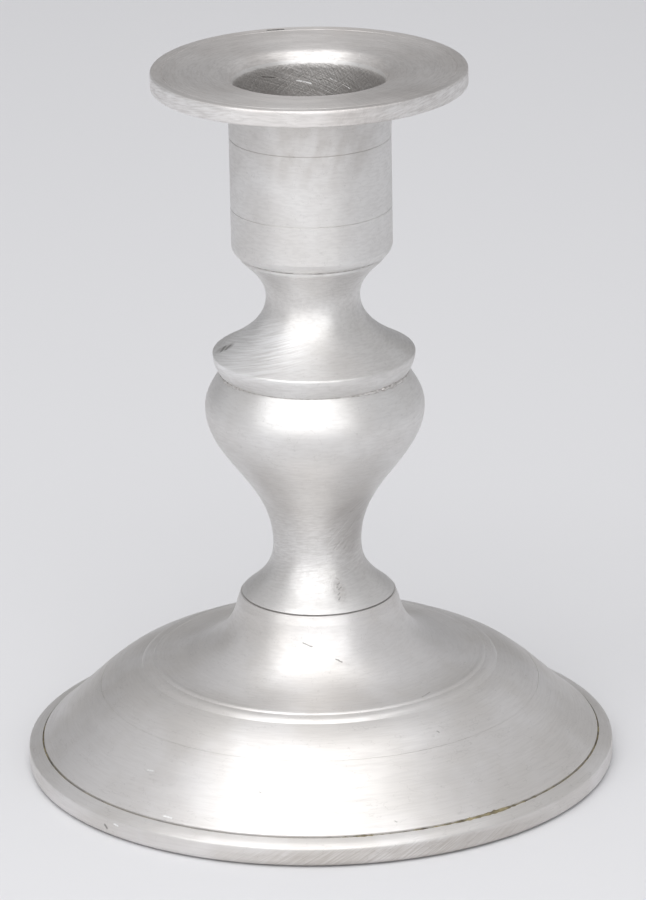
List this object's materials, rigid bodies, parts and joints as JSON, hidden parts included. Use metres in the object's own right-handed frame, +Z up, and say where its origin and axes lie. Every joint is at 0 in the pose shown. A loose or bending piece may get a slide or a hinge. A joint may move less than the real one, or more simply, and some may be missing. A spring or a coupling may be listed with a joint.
{
  "type": "pillar candlestick",
  "caption": "Short pewter pillar candlestick: flat drip pan and candle socket on a turned baluster stem and a spreading domed foot, held by a draw rod.",
  "frame": {"origin": "centre of the underside, on the table", "axes": "+Z up the stem, out of the candle socket's mouth; the part is turned about Z, so X and Y are alike"},
  "size_m": [0.0904, 0.0904, 0.1101],
  "materials": {
    "pewter": "pewter, turned and hand-brushed to a soft satin",
    "steel": "plain steel, bright-drawn",
    "cement": "cast cement, dull and slightly rough",
    "board": "pressed fibre board",
    "felt": "dense wool felt"
  },
  "bodies": {
    "root": {"drip_pan": "pewter", "candle_socket": "pewter", "neck": "pewter", "baluster": "pewter", "base_dome": "pewter", "foot_ring": "pewter", "draw_rod": "steel", "rod_washer": "steel", "rod_nut": "steel", "ballast": "cement", "base_plate": "board", "felt_pad": "felt"}
  },
  "joints": []
}
